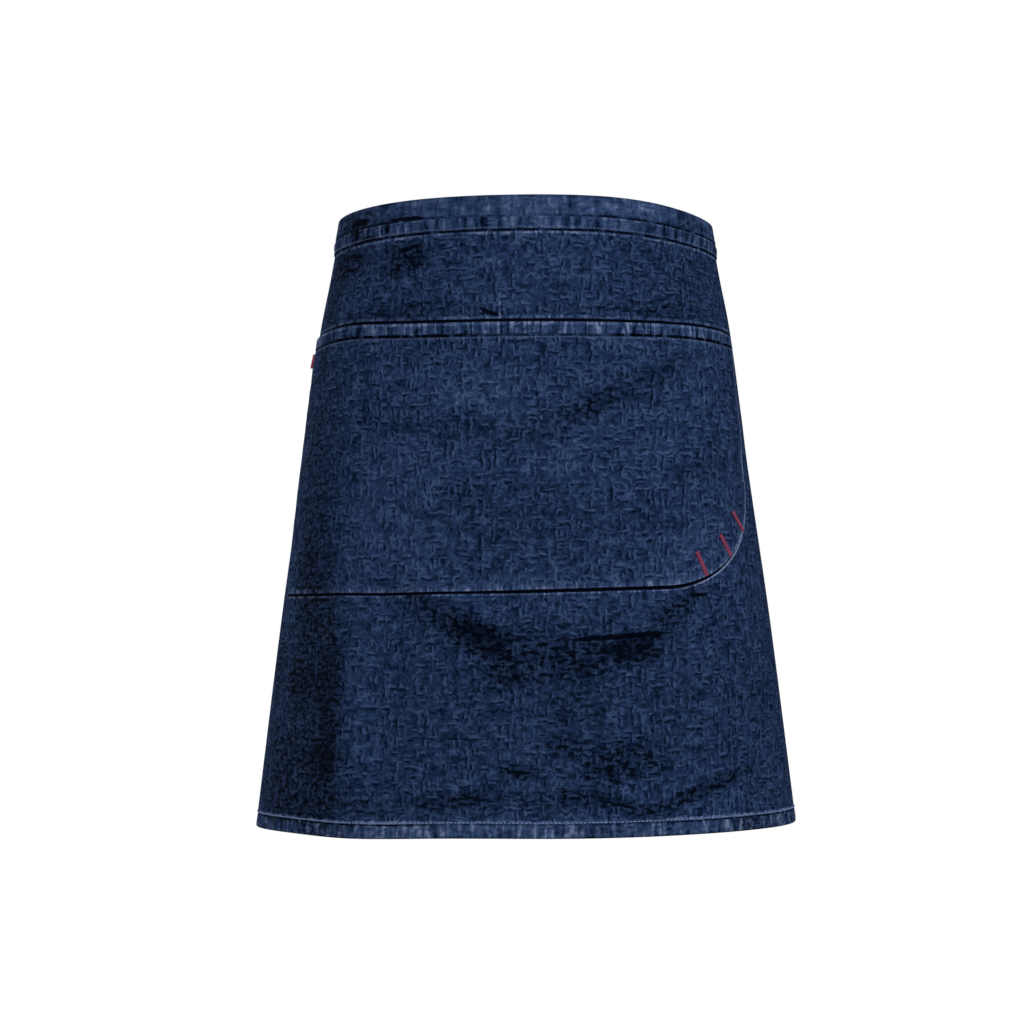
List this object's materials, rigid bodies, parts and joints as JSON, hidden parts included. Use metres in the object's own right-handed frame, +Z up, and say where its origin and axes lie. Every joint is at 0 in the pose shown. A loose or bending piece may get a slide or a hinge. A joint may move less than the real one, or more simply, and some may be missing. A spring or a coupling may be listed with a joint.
{
  "type": "bar apron",
  "caption": "Short denim waist apron in its worn form, with a folded waistband, a wide patch pocket with one rounded corner, and a plain tie round the back.",
  "frame": {"origin": "middle of the waist ring, at half the waistband's height", "axes": "+Z up, the front of the apron faces -Y, +X to the viewer's right"},
  "size_m": [0.44, 0.2664, 0.5001],
  "materials": {
    "denim": "worn indigo twill",
    "tack_thread": "satin-stitched crimson thread",
    "tag_ribbon": "plain woven red ribbon",
    "tie_cloth": "folded indigo twill"
  },
  "bodies": {
    "root": {"body_panel": "denim", "waistband": "denim", "pocket": "denim", "bar_tack_1": "tack_thread", "bar_tack_2": "tack_thread", "bar_tack_3": "tack_thread", "side_tag": "tag_ribbon", "waist_tie": "tie_cloth"}
  },
  "joints": []
}
